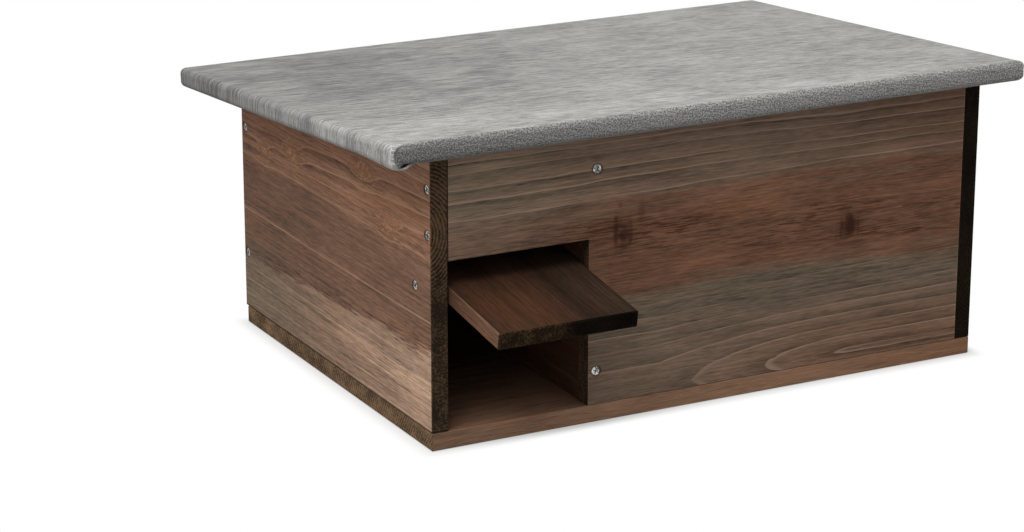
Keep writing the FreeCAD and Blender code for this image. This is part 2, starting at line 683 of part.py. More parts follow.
def hinges():
    """Two butt hinges in the corner between the back panel and the roof's rear overhang."""
    for side, x in (("left", "-Dim.hinge_spacing / 2"), ("right", "Dim.hinge_spacing / 2")):
        wall_leaf(side + "_hinge_wall_leaf", x)
        roof_leaf(side + "_hinge_roof_leaf", x)
        hinge_pin(side + "_hinge_pin", x)
    master = screw("hinge_screw", "hinge_screw")
    head = "Dim.back_face + Dim.hinge_leaf_thickness - Dim.hinge_screw_recess"
    wall = [(x, head, "Dim.hinge_screw_z") for x in hinge_screw_columns()]
    copies("hinge_wall_screws", master, driven(wall), Vector(0, -1, 0))
    head = "Dim.hinge_screw_recess - Dim.felt_thickness - Dim.hinge_leaf_thickness"
    roof = [(x, y, head) for x, y in roof_hinge_spots()]
    copies("hinge_roof_screws", master, driven(roof), Vector(0, 0, 1), **ROOF_FRAME)


def build():
    base_board()
    left_spots = side_screw_spots(LEFT_HEIGHTS) + [PIVOT_SPOT]
    side_panel("left_side_panel", "Dim.left_face", left_spots, "Dim.base_screw_left", mirrored=False)
    right_spots = side_screw_spots(RIGHT_HEIGHTS)
    side_panel("right_side_panel", "Dim.right_face", right_spots, "Dim.base_screw_right", mirrored=True)
    front_panel()
    back_panel()
    partition_wall()
    entrance_flap()
    carcass_screws()
    roof_felt(roof_board())
    felt_staples()
    hinges()
    doc.recompute()


def export():
    """Stops on any failed object or bad shape, then writes each piece to its own file."""
    for thing in doc.Objects:
        if "Invalid" in thing.State or "Error" in thing.State:
            raise RuntimeError(f"{thing.Label} failed: {thing.State}")
    for thing in nodes:
        if thing.Shape.isNull() or not thing.Shape.isValid() or not thing.Shape.Solids:
            raise RuntimeError(f"{thing.Label} has no valid solid")
    os.makedirs("parts", exist_ok=True)
    for thing in nodes:
        thing.Shape.exportStep(f"parts/{thing.Label}.step")
        print(f"{thing.Label}: {len(thing.Shape.Solids)} solids, {thing.Shape.Volume:.1f} mm3")


build()
export()
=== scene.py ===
import math

import bpy
from bpy.props import FloatProperty, FloatVectorProperty, PointerProperty
from mathutils import Matrix, Vector, noise


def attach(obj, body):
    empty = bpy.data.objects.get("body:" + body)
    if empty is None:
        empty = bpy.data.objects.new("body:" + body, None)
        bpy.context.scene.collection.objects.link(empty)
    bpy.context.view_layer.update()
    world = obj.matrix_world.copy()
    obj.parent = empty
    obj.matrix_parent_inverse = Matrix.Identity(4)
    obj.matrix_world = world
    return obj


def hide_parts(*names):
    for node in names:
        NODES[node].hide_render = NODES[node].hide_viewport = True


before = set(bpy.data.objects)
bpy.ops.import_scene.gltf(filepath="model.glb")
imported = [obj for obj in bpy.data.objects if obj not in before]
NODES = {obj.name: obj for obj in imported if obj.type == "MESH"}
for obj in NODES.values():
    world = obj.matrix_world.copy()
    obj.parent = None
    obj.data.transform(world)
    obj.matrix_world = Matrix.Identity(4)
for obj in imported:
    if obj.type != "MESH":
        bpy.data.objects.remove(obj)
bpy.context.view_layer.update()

bl_info = {
    "name": "Hedgehog House",
    "version": (1, 0, 0),
    "blender": (4, 5, 0),
    "location": "3D View > Sidebar > Hedgehog House",
    "description": "Stained boards, wrapped roof felt and zinc hardware for a hedgehog house",
    "category": "Object",
}

MM = 0.001
MM_PER_M = 1000.0

# Faces of the carcass in millimetres: its front, the top of the base board and the inner sides
FRONT_FACE = -142.25
BASE_TOP = 11.4
INNER_SIDE = 187.85

# The roof's own frame: its underside, tilted about the line where it meets the back wall
ROOF_SLOPE = math.radians(4.17)
ROOF_PLACE = Matrix.Translation(Vector((-5.0, 144.75, 166.375)) * MM) @ Matrix.Rotation(-ROOF_SLOPE, 4, "X")
ROOF_HALF = 227.5
ROOF_FRONT = -303.5
ROOF_BACK = 26.5
BOARD_TOP = 10.8
FELT = 1.2
FELT_TOP = BOARD_TOP + FELT

# What the felt's hem leaves open under the roof: its left, right, front and back
HEM_WINDOW = (-194.85, 204.85, -288.36, 0.6)

# The flap's pivot line and how far it hangs from level at rest
FLAP_PIVOT = Vector((-139.35, -120.15, 100.4))
FLAP_TILT = math.radians(8.55)

# Middles of the screw heads on the front and on the left side, as places along and across the board, and the
# half sizes and depth of the dark rim round each, partly stain and partly painted shade
FRONT_SCREWS = ((-85.15, 33.5), (-85.15, 164.07))
LEFT_SCREWS = ((-137.25, 164.8), (-137.25, 136.2), (139.75, 138.475), (139.75, 50.3), (-120.15, 100.4))
SCREW_RIM = (3.6, 3.6, 1.2)

# The stage in metres: the floor's size, how far it lies under the house, half the ground that the house
# covers, and the lamp's place, aim and size. The camera's sensor is in millimetres.
FLOOR_SIZE = 14.0
FLOOR_DROP = 0.0003
COVERED = (0.199, 0.142)
LAMP_PLACE = Vector((-1.0, -0.5, 1.9))
LAMP_AIM = Vector((0.0, 0.0, 0.1))
LAMP_SIZE = 1.6
SENSOR = 36.0


class BoardStain(bpy.types.PropertyGroup):
    """Colours of the stained softwood."""

    sapwood: FloatVectorProperty(
        name="Sapwood", description="Grey-brown of the stained outer wood", subtype="COLOR",
        default=(0.225, 0.156, 0.11), min=0.0, max=1.0)
    heartwood: FloatVectorProperty(
        name="Heartwood", description="Red-brown of the stained inner wood", subtype="COLOR",
        default=(0.19, 0.085, 0.048), min=0.0, max=1.0)
    weathered: FloatVectorProperty(
        name="Grey Bands", description="Greenish grey where the stain took less red", subtype="COLOR",
        default=(0.15, 0.118, 0.08), min=0.0, max=1.0)
    growth_line: FloatVectorProperty(
        name="Growth Lines", description="Hard late wood that the stain hardly enters", subtype="COLOR",
        default=(0.40, 0.275, 0.195), min=0.0, max=1.0)
    pale: FloatVectorProperty(
        name="Pale Side", description="Pinkish wood beside a growth line", subtype="COLOR",
        default=(0.34, 0.205, 0.145), min=0.0, max=1.0)
    amber: FloatVectorProperty(
        name="Curls", description="Orange-brown of curls in the grain", subtype="COLOR",
        default=(0.34, 0.145, 0.06), min=0.0, max=1.0)
    swirl: FloatVectorProperty(
        name="Swirls", description="Light orange lines that wind round a curl", subtype="COLOR",
        default=(0.56, 0.325, 0.18), min=0.0, max=1.0)
    streak: FloatVectorProperty(
        name="Streaks", description="Dark red of knots and resin streaks", subtype="COLOR",
        default=(0.075, 0.022, 0.011), min=0.0, max=1.0)
    end_grain: FloatVectorProperty(
        name="End Grain", description="Sawn ends that drink the stain", subtype="COLOR",
        default=(0.087, 0.053, 0.028), min=0.0, max=1.0)


class RoofFelt(bpy.types.PropertyGroup):
    """Colours and folds of the roof felt."""

    light: FloatVectorProperty(
        name="Light Fibres", description="Colour of the felt's light fibres", subtype="COLOR",
        default=(0.54, 0.534, 0.51), min=0.0, max=1.0)
    dark: FloatVectorProperty(
        name="Dark Fibres", description="Colour of the felt's dark fibres", subtype="COLOR",
        default=(0.19, 0.189, 0.182), min=0.0, max=1.0)
    thickness: FloatProperty(
        name="Thickness", description="Thickness of the felt", subtype="DISTANCE", unit="LENGTH",
        default=1.1 * MM, min=0.2 * MM, max=3 * MM)
    fold: FloatProperty(
        name="Fold", description="How far a corner fold stands proud of the front edge", subtype="DISTANCE",
        unit="LENGTH", default=1.3 * MM, min=0.0, max=4 * MM)
    droop: FloatProperty(
        name="Droop", description="How far a loose corner of the hem hangs down", subtype="DISTANCE",
        unit="LENGTH", default=2.6 * MM, min=0.0, max=6 * MM)


class ZincPlate(bpy.types.PropertyGroup):
    """Colours of the plated steel."""

    bright: FloatVectorProperty(
        name="Bright Zinc", description="Colour of the clean plating", subtype="COLOR",
        default=(0.62, 0.62, 0.6), min=0.0, max=1.0)
    # The dark colour is partly clouded plating and partly painted dark reflection of the surroundings
    dull_and_dark_reflection: FloatVectorProperty(
        name="Dull Zinc", description="Colour of the clouded plating", subtype="COLOR",
        default=(0.1, 0.1, 0.098), min=0.0, max=1.0)


class StudioStage(bpy.types.PropertyGroup):
    """Camera, lamps and floor."""

    camera_place: FloatVectorProperty(
        name="Camera", description="Where the camera stands", subtype="XYZ", unit="LENGTH",
        default=(-0.9789, -1.7291, 0.6736))
    camera_turn: FloatProperty(
        name="Turn", description="Angle between the line of sight and the house's depth", subtype="ANGLE",
        default=math.radians(27.744))
    camera_fall: FloatProperty(
        name="Fall", description="Angle of the line of sight below level", subtype="ANGLE",
        default=math.radians(17.430))
    lens: FloatProperty(
        name="Lens", description="Focal length on a 36 mm sensor", default=108.886, min=10.0, max=400.0)
    floor_colour: FloatVectorProperty(
        name="Floor", description="Colour of the studio floor", subtype="COLOR",
        default=(0.93, 0.93, 0.93), min=0.0, max=1.0)
    sky: FloatProperty(
        name="Sky", description="Strength of the even light from all round", default=0.46, min=0.0, max=2.0)
    key: FloatProperty(
        name="Key", description="Power of the large lamp above", subtype="POWER", default=30.0, min=0.0)


class Field:
    """A socket of a node tree that can be used in sums like a number."""

    def __init__(self, tree, socket):
        self.tree = tree
        self.socket = socket

    def node(self, kind, settings=(), sockets=(), out=0):
        """Adds a node: its settings first, then the values or links of its sockets."""
        made = self.tree.nodes.new(kind)
        for name, value in dict(settings).items():
            setattr(made, name, value)
        for key, value in dict(sockets).items():
            if isinstance(value, Field):
                self.tree.links.new(value.socket, made.inputs[key])
            else:
                made.inputs[key].default_value = value
        if isinstance(out, tuple):
            return [Field(self.tree, made.outputs[i]) for i in out]
        return Field(self.tree, made.outputs[out])

    def into(self, socket):
        """Links the field to a socket of a node that is already there."""
        self.tree.links.new(self.socket, socket)

    def maths(self, operation, first, second=0.0):
        return self.node("ShaderNodeMath", {"operation": operation}, {0: first, 1: second})

    def __add__(self, other):
        return self.maths("ADD", self, other)

    def __radd__(self, other):
        return self.maths("ADD", other, self)

    def __sub__(self, other):
        return self.maths("SUBTRACT", self, other)

    def __rsub__(self, other):
        return self.maths("SUBTRACT", other, self)

    def __mul__(self, other):
        return self.maths("MULTIPLY", self, other)

    def __rmul__(self, other):
        return self.maths("MULTIPLY", other, self)

    def __truediv__(self, other):
        return self.maths("DIVIDE", self, other)

    def __pow__(self, other):
        return self.maths("POWER", self, other)

    def __abs__(self):
        return self.maths("ABSOLUTE", self)

    def root(self):
        return self.maths("SQRT", self)

    def fraction(self):
        return self.maths("FRACT", self)

    def floor(self):
        return self.maths("FLOOR", self)

    def largest(self, other):
        return self.maths("MAXIMUM", self, other)

    def smallest(self, other):
        return self.maths("MINIMUM", self, other)

    def parts(self):
        """The three parts of a vector."""
        return self.node("ShaderNodeSeparateXYZ", (), {0: self}, out=(0, 1, 2))

    def step(self, low, high):
        """A soft step from 0 at low to 1 at high, either way round."""
        return self.node(
            "ShaderNodeMapRange", {"interpolation_type": "SMOOTHSTEP"}, {0: self, 1: low, 2: high})

    def band(self, low, high, soft):
        """1 between two values, fading over a soft margin."""
        return self.step(low - soft, low + soft) * self.step(high + soft, high - soft)

    def stretched(self, x, y, z):
        """A vector with its parts stretched."""
        return self.node("ShaderNodeVectorMath", {"operation": "MULTIPLY"}, {0: self, 1: (x, y, z)})

    def moved(self, x, y, z):
        return self.node("ShaderNodeVectorMath", {"operation": "ADD"}, {0: self, 1: (x, y, z)})

    def noise(self, scale=1.0, detail=2.0, rough=0.5, distortion=0.0):
        """Noise at a vector, about 0.5 on average."""
        return self.node("ShaderNodeTexNoise", {"noise_dimensions": "3D"}, {
            "Vector": self, "Scale": scale, "Detail": detail, "Roughness": rough, "Distortion": distortion})


def first_field(*parts):
    return next(part for part in parts if isinstance(part, Field))


def paint(factor, low, high):
    """Mixes two colours by a field or a number."""
    ends = [c if isinstance(c, Field) else (*c, 1.0) for c in (low, high)]
    settings = {"data_type": "RGBA", "clamp_factor": True}
    source = first_field(factor, low, high)
    return source.node("ShaderNodeMix", settings, {0: factor, 6: ends[0], 7: ends[1]}, out=2)


def shaded(colour, amount):
    """Multiplies a colour by a field."""
    grey = amount.node("ShaderNodeCombineColor", (), {0: amount, 1: amount, 2: amount})
    return amount.node("ShaderNodeMix", {"data_type": "RGBA", "blend_type": "MULTIPLY"},
                       {0: 1.0, 6: colour, 7: grey}, out=2)


def dimmed(colour, share):
    """A colour with a share of its light."""
    return tuple(share * c for c in colour)


def distance(x, y):
    """How far off a place is that lies x one way and y the other."""
    return (x * x + y * y).root()


def new_finish(name):
    """A new material, its shader node and the fields of its coordinates."""
    material = bpy.data.materials.new(name)
    material.use_nodes = True
    shader = material.node_tree.nodes["Principled BSDF"]
    kinds = ("Object", "Normal", "UV")
    fields = Field(material.node_tree, shader.outputs[0]).node("ShaderNodeTexCoord", out=kinds)
    return material, shader, dict(zip(kinds, fields))


def finish_shader(shader, colour, rough, height, depth):
    """Links colour, roughness and relief to a shader."""
    colour.into(shader.inputs["Base Color"])
    rough.into(shader.inputs["Roughness"])
    relief = height.node("ShaderNodeBump", (), {"Strength": 1.0, "Distance": depth, "Height": height})
    relief.into(shader.inputs["Normal"])


def dress(material, *names):
    """Gives CAD nodes a material."""
    for name in names:
        slots = NODES[name].data.materials
        slots.clear()
        slots.append(material)


class Grain:
    """A board's own places in millimetres: along its grain, across its face and through its thickness."""

    def __init__(self, spots, axes, seed, pivot=None, tilt=0.0):
        place = spots["Object"].stretched(MM_PER_M, MM_PER_M, MM_PER_M)
        facing = spots["Normal"]
        if pivot is not None:
            turn = {"Rotation": (-tilt, 0.0, 0.0)}
            place = place.moved(*(-pivot))
            place = place.node("ShaderNodeMapping", (), {"Vector": place, **turn})
            facing = facing.node("ShaderNodeMapping", (), {"Vector": facing, **turn})
        parts = dict(zip("xyz", place.parts()))
        self.faces = dict(zip("xyz", facing.parts()))
        self.along, self.across, self.through = (parts[letter] for letter in axes)
        self.end = abs(self.faces[axes[0]]).step(0.45, 0.75)
        self.seed = seed
        self.wander = self.streaks(260.0, 60.0, 0.0, 3.0)
        self.ragged = self.streaks(34.0, 5.0, 4.0) - 0.5

    def streaks(self, length, width, shift, detail=2.0, rough=0.5):
        """Noise drawn out along the grain."""
        spot = as_vector(
            self.along / length + shift, self.across / width + self.seed, self.through / width - shift)
        return spot.noise(1.0, detail, rough)

    def away(self, along, across, long, wide, ragged):
        """Distance from a place on the face, as a share of a spot's half sizes."""
        x = (self.along - along) / long + ragged
        y = (self.across - across) / wide - ragged
        return distance(x, y)

    def from_heart(self, heart):
        """Distance from the tree's middle, which lies at a place across and through the board."""
        return distance(self.across - heart[0], self.through - heart[1])


def as_vector(x, y, z):
    """A vector from fields and numbers."""
    return first_field(x, y, z).node("ShaderNodeCombineXYZ", (), {0: x, 1: y, 2: z})


# What a board's figure may leave out: the strength of its fibres and of its cloudy stain, the dark side of
# a growth layer, the length of a fibre, the arcs and pores on its sawn ends, growth lines that show for
# certain, and its spots. A spot is a place along and across the board, its half sizes and its share.
USUAL_LOOK = {
    "contrast": 1.0,
    "cloud": 1.0,
    "dark_side": 0.36,
    "fibre": 30.0,
    "clear": 0.35,
    "pores": 1.6,
    "sure": 0.0,
    "marks": (),
    "amber": (),
    "swirls": (),
}


def front_figure(grain):
    """Straight lines above, a red heart with two knots, and two arches of one growth layer at the foot."""
    heart = (112.0, -190.0)
    arch = 17.5
    sway = grain.wander - 0.5
    reach = (16.0 - grain.along * 0.15).largest(0.0).smallest(22.0)
    lifted = arch + distance(grain.across - arch, reach)
    calm = 3.0 + grain.across.step(40.0, 80.0) * 11.0
    rings = abs(lifted - heart[0]) + 4.0 + (grain.through - FRONT_FACE) * 0.5 + sway * calm
    level = grain.across + sway * 14.0 + (grain.streaks(90.0, 8.0, 9.0, 4.0, 0.6) - 0.5) * 44.0
    slanted = grain.across + grain.along * 0.07 + sway * 10.0
    core = level.band(78.0, 142.0, 11.0)
    grey = level.band(57.0, 76.0, 8.0)
    right = grain.along.step(-165.0, -70.0)
    left = 1.0 - right
    far_right = grain.along.step(20.0, 190.0)
    patch = grain.streaks(75.0, 15.0, 15.0, 3.0, 0.6)
    pale = level.step(60.0, 34.0) * grain.along.step(-60.0, 110.0)
    top = level.step(141.0, 150.0)
    return {
        "heart": heart,
        "rings": rings,
        "red": core * (0.25 + right * 0.66) * (0.8 + patch * 0.3) + pale * 0.5
        + top * (0.08 + far_right * 0.45),
        "grey": grey * 0.85 + level.band(30.0, 57.0, 6.0) * 0.3 + top * left * 0.8,
        "lines": top * 0.75 + level.step(80.0, 64.0) * 0.55 + level.step(60.0, 50.0) * 0.2
        + pale * 0.3 + 0.05,
        "light": 1.09 - right * 0.1 - top * far_right * 0.15 + pale * 0.08
        + core * right * (patch - 0.43) * 0.6 + top * left * 0.35 - core * 0.06
        + core * grain.along.band(-15.0, 75.0, 20.0) * 0.1,
        "contrast": 1.1 + core * 0.45 + grey * 0.5,
        "dark_side": USUAL_LOOK["dark_side"]
        - level.step(62.0, 42.0) * grain.along.step(130.0, 20.0) * 0.24,
        "uneven": grain.across.step(60.0, 95.0),
        "streaks": slanted.band(99.0, 127.0, 5.0) * right * (0.5 + patch.step(0.42, 0.6) * 0.5),
        "marks": [
            (-71.8, 122.7, 1.9, 11.0, 0.75), (-61.6, 119.5, 1.9, 8.0, 0.7), (-66.4, 120.0, 3.6, 5.4, 1.0),
            (-67.0, 112.4, 4.8, 2.0, 0.65), (-67.0, 121.0, 12.0, 13.0, 0.35), (-53.8, 132.7, 3.0, 8.0, 0.3),
            (-68.9, 138.8, 1.5, 2.0, 0.4),
            (100.6, 102.7, 5.4, 7.8, 0.95), (102.0, 101.8, 3.0, 5.4, 0.9), (94.6, 100.5, 1.4, 6.5, 0.6),
            (107.4, 100.5, 1.3, 6.5, 0.5), (100.6, 102.7, 12.0, 12.0, 0.35),
        ] + [(*place, *SCREW_RIM) for place in FRONT_SCREWS],
        "amber": [(26.0, 126.0, 28.0, 11.0, 0.4), (101.5, 92.0, 3.0, 3.0, 0.5)],
    }


def left_figure(grain):
    """Warm wood with curls above, two long growth lines, and a ragged edge to greyer and paler wood below,
    with painted light that darkens the back and lightens the lower front.
    """
    sway = grain.wander - 0.5
    curls = [(-47.0, 153.0, 13.0, 7.5, 0.8), (60.0, 139.0, 14.0, 7.5, 0.75), (108.0, 130.0, 9.0, 7.0, 0.6),
             (-84.0, 128.0, 12.0, 6.0, 0.7)]
    rise = 0.0
    for along, across, long, wide, _ in curls:
        rise = grain.away(along, across, long, wide, grain.ragged).step(2.2, 0.0) * 7.0 + rise
    upper = grain.across.step(122.0, 140.0)
    rings = grain.across - 1.0 + sway * 5.0 + rise + upper * (grain.along * 0.05 + sway * 8.0)
    level = grain.across + sway * 22.0 + (grain.streaks(80.0, 9.0, 9.0, 4.0, 0.6) - 0.5) * 36.0
    edge = grain.across + grain.along * 0.048 + (grain.streaks(45.0, 7.0, 9.0, 4.0, 0.65) - 0.5) * 26.0
    low = edge.step(60.0, 53.0)
    back = grain.along.step(-40.0, 120.0)
    sheen = level.band(31.0, 45.0, 6.0) * grain.along.step(20.0, -70.0)
    warm = level.step(112.0, 130.0)
    near = grain.along.step(60.0, -140.0)
    return {
        "heart": (138.0, -213.0),
        "rings": rings + grain.through * 0.4 + 79.7,
        "red": 0.66 + warm * 0.15 - low * 0.3 - low * near * 0.2,
        "grey": back * grain.across.step(80.0, 30.0) * 0.75,
        "lines": upper * 0.9 + low * 0.12 + 0.04,
        "sure": rings.band(80.0, 82.5, 1.0) * 0.5 + rings.band(120.0, 122.5, 1.0) * 0.6,
        # Light is partly the wood's own tone and partly painted light: darker towards the back, lighter low
        # at the front, where a sheen band is painted
        "light": 1.02 - grain.along * 0.0014 + warm * 0.6 + low * 0.42 + low * near * 0.5 + sheen * 0.5,
        "contrast": 1.7,
        "fibre": 75.0,
        "pores": 2.6,
        "uneven": upper * 0.7,
        "streaks": edge.band(55.0, 63.0, 2.5) * 0.9,
        "ends": 0.82 - grain.across.step(90.0, 130.0) * 0.22,
        "clear": grain.across.step(95.0, 122.0) * 0.7 + 0.1,
        "marks": [(*place, *SCREW_RIM) for place in LEFT_SCREWS],
        "amber": [(-100.0, 148.0, 60.0, 14.0, 0.45), (70.0, 150.0, 80.0, 14.0, 0.3)] + curls,
        "swirls": curls,
    }


def flap_figure(grain):
    """Dark wood that is red in the middle of its free end, grey on its right and painted lighter on its left
    edge, with a sawn end darker towards the right, partly stain and partly painted shade.
    """
    heart = (-60.0, 40.0)
    reddest = grain.across.band(-40.0, 2.0, 12.0) * grain.along.step(5.0, -45.0)
    bands = grain.streaks(260.0, 9.0, 5.0, 3.0, 0.6)
    # The left edge is painted lighter below, as a side that faces the light
    left_edge = (-1.0 * grain.faces["x"]).step(0.5, 0.8) * grain.along.step(20.0, -70.0)
    return {
        "heart": heart,
        "rings": grain.from_heart(heart) + (grain.wander - 0.5) * 22.0,
        "red": 0.7 + reddest * 0.3 + (bands - 0.5) * 0.9,
        "grey": grain.across.step(0.0, 26.0) * 0.6,
        "lines": 0.0,
        "uneven": 0.0,
        "clear": 0.08,
        "contrast": 1.4,
        "fibre": 90.0,
        # Painted light on the left edge
        "light": 0.05 + bands * 1.6 + reddest * 0.6 + left_edge * 3.4,
        "streaks": grain.across.step(-10.0, 10.0) * 0.3 + 0.15,
        # The sawn end is darker towards the right: partly stain, partly painted shade
        "ends": grain.across.step(15.0, -30.0) * 5.2 + 0.5,
        "amber": [(-55.0, -24.0, 26.0, 20.0, 0.6)],
    }


def plain_figure(heart, red, grey=0.3, lines=0.45):
    """A figure with no spots, for a board whose heart lies at a given place across and through it."""

    def figure(grain):
        bands = grain.streaks(420.0, 26.0, 5.0)
        cloud = grain.streaks(110.0, 34.0, 7.0)
        return {
            "heart": heart,
            "rings": grain.from_heart(heart) + (grain.wander - 0.5) * 20.0,
            "red": red + (bands - 0.5) * 1.4,
            "grey": cloud.step(0.5, 0.72) * grey,
            "lines": lines * cloud.step(0.25, 0.6),
            "light": 0.8 + cloud * 0.4,
            "streaks": bands.step(0.45, 0.7) * 0.6,
            "uneven": cloud,
        }

    return figure


def base_figure(grain):
    """Even, yellowish wood that is darker at its left end, with painted shade on the floor of the entrance
    tunnel and a band of painted light below the flap's right end.
    """
    look = plain_figure((-420.0, -190.0), 0.24, 0.0, 0.2)(grain)
    # Painted shade on the floor of the entrance tunnel, deeper further in and fading towards the back
    tunnel_shade = grain.faces["z"].step(0.5, 0.8) * grain.along.step(-30.0, -110.0)
    tunnel_shade = tunnel_shade * (1.0 - grain.across.step(40.0, 125.0) * 0.6)
    # The band around the flap's right end is painted light against the flap's shadow; the left end is darker
    light = 0.87 - grain.along.step(-150.0, -185.0) * 0.3 + grain.along.band(-115.0, -62.0, 14.0) * 0.4
    light = light - grain.along.step(60.0, 200.0) * 0.28
    look["light"] = light * (1.0 - tunnel_shade * grain.across.step(-150.0, -10.0) * 0.7 - tunnel_shade * 0.12)
    look.update(red=0.24, grey=0.0, cloud=0.35)
    look["amber"] = [(200.0, -142.0, 150.0, 90.0, 0.42), (-60.0, -142.0, 170.0, 90.0, 0.4)]
    return look


# How each board was cut and how it took the stain: the axes that run along its grain, across its face and
# through it, a seed, the gap between its growth lines, the light left on its sawn ends and on its faces, its
# shine and its figure
BOARDS = {
    "front_panel": ("xzy", 3.0, 8.0, 1.1, 1.0, 0.12, front_figure),
    "left_side_panel": ("yzx", 11.0, 10.0, 0.85, 1.0, 0.12, left_figure),
    # The right side panel's dark sawn ends are partly stain and partly painted shade
    "right_side_panel": ("yzx", 23.0, 7.0, 0.13, 1.0, 0.05, plain_figure((70.0, 225.0), 0.4)),
    "back_panel": ("xzy", 31.0, 7.5, 0.9, 1.0, 0.12, plain_figure((60.0, 172.0), 0.45)),
    "partition_wall": ("yzx", 47.0, 6.5, 1.1, 0.42, 0.1, plain_figure((40.0, -120.0), 0.9, 0.1, 0.25)),
    "base_board": ("xyz", 59.0, 2.6, 2.2, 1.55, 0.12, base_figure),
    "roof_board": ("xyz", 71.0, 7.0, 1.0, 0.9, 0.12, plain_figure((-60.0, 120.0), 0.3)),
    # The flap's dark sawn ends are partly stain and partly painted shade
    "entrance_flap": ("yxz", 83.0, 6.5, 0.16, 0.24, 0.03, flap_figure),
}


def stained_board(name, stain):
    """Stained softwood: growth lines with a pale and a dark side, fibres, cloudy stain and dark sawn ends."""
    axes, seed, gap, ends, shade, shine, figure = BOARDS[name]
    material, shader, spots = new_finish("stained_" + name)
    turned = (FLAP_PIVOT, FLAP_TILT) if name == "entrance_flap" else ()
    grain = Grain(spots, axes, seed, *turned)
    ragged = grain.ragged
    look = {**USUAL_LOOK, **figure(grain)}
    rings = look["rings"] + ragged * 1.4
    uneven = as_vector(rings / 15.0, grain.along / 900.0, seed).noise(1.0, 1.0) - 0.5
    count = (rings + uneven * look["uneven"] * 9.0) / gap
    phase = count.fraction()
    layer = as_vector(count.floor() * 3.7, grain.along / 170.0, seed).noise(1.0, 2.0).step(0.3, 0.62)
    strength = layer * look["lines"] + look["sure"]
    line = phase.step(0.15, 0.04)
    fine = (count * 3.0 + ragged).fraction().step(0.45, 0.05)
    fibre = grain.streaks(look["fibre"], 1.3, 2.0, 3.0, 0.65)
    hair = grain.streaks(8.0, 0.7, 6.0, 1.0)
    cloud = grain.streaks(55.0, 18.0, 8.0, 4.0, 0.6)

    colour = paint(look["red"] + (fibre - 0.5) * 0.5, stain.sapwood[:], stain.heartwood[:])
    colour = paint(look["grey"], colour, stain.weathered[:])
    colour = paint((1.0 - phase) ** 2.0 * strength * 0.5, colour, stain.pale[:])
    tone = 1.0 + ((fibre - 0.5) * 1.25 + (hair - 0.5) * 0.7) * look["contrast"]
    tone = tone + (cloud - 0.5) * look["cloud"]
    tone = tone - phase.step(0.45, 1.0) * strength * look["dark_side"] + fine * look["lines"] * 0.12
    colour = shaded(colour, tone.largest(0.25) * look["light"] * shade)
    colour = paint(line * strength, colour, stain.swirl[:] if look["swirls"] else stain.growth_line[:])
    for along, across, long, wide, share in look["amber"]:
        curl = grain.away(along, across, long, wide, ragged * 2.4)
        warm = curl.step(1.5, 0.1) * (fibre * 2.0 - 0.35) * share
        colour = paint(warm, colour, dimmed(stain.amber, shade))
    frayed = as_vector(grain.along / 4.5, grain.across / 6.0, seed).noise(1.0, 3.0, 0.6) - 0.5
    for along, across, long, wide, share in look["swirls"]:
        curl = grain.away(along, across, long, wide, ragged * 3.0)
        glow = curl.step(1.3, 0.0) * frayed.step(-0.08, 0.2)
        loops = (curl * 1.15 + grain.wander * 3.0 + frayed * 0.9).fraction()
        loops = loops.step(0.3, 0.1) * loops.step(0.0, 0.06)
        bright = loops * curl.step(2.4, 0.6) * fibre.step(0.25, 0.55) * 0.75 + glow * 0.95
        colour = paint(bright * share, colour, stain.swirl[:])
    fleck = grain.streaks(16.0, 1.1, 12.0, 2.0, 0.6).step(0.5, 0.64)
    colour = paint(fleck * look["streaks"] * 0.85, colour, stain.streak[:])
    # Marks: knots, and the dark rims round the screw heads, which are partly stain and partly painted shade
    for along, across, long, wide, share in look["marks"]:
        mark = grain.away(along, across, long, wide, frayed * 0.8)
        soaked = (0.95 + frayed * 1.3) * share
        colour = paint(mark.step(1.35, 0.4) * soaked, colour, dimmed(stain.streak, 0.6))

    pores = as_vector(grain.along / 4.0, grain.across / 1.3, grain.through / 1.3).noise(1.0, 3.0, 0.65)
    blotch = as_vector(grain.along / 40.0, grain.across / 16.0, grain.through / 9.0 + seed).noise(1.0, 2.0)
    arcs = (grain.from_heart(look["heart"]) + pores * 1.6 + blotch * 3.0) / 2.3
    arcs = arcs.fraction().step(0.85, 0.1)
    clear = arcs * look["clear"] + (pores - 0.5) * look["pores"] + (blotch - 0.4) * 1.3
    # On the right side panel and the flap the dark of the sawn ends is partly painted shade
    sawn = paint(clear, dimmed(stain.end_grain, 0.25 * ends), dimmed(stain.end_grain, 2.2 * ends))
    if "ends" in look:
        sawn = shaded(sawn, look["ends"])
    colour = paint(grain.end, colour, sawn)
    for seam in SEAMS.get(name, ()):
        colour = seam_line(colour, grain, *seam)
    rough = 0.62 + fibre * 0.25 - line * 0.06 + grain.end * 0.08
    relief = line * 0.4 + fibre * 0.7 + hair * 0.3 - fleck * look["streaks"] + grain.end * pores
    finish_shader(shader, colour, rough, relief, 0.4 * MM)
    shader.inputs["Specular IOR Level"].default_value = shine
    return material


# Lines where a board meets its neighbour, as a place along (0), across (1) or through (2) it, a half width,
# and the share of light that is left there
SEAMS = {
    "left_side_panel": [(1, BASE_TOP, 2.0, 0.15), (0, FRONT_FACE, 0.9, 1.35)],
    "front_panel": [(0, -INNER_SIDE, 0.8, 0.3), (0, INNER_SIDE, 1.1, 1.7), (1, BASE_TOP, 0.6, 0.45)],
}


def seam_line(colour, grain, way, place, half, left):
    """A dark joint or a paler line along an edge."""
    spot = (grain.along, grain.across, grain.through)[way]
    near = abs(spot - place).step(half, half * 0.4)
    return shaded(colour, 1.0 + near * (left - 1.0))


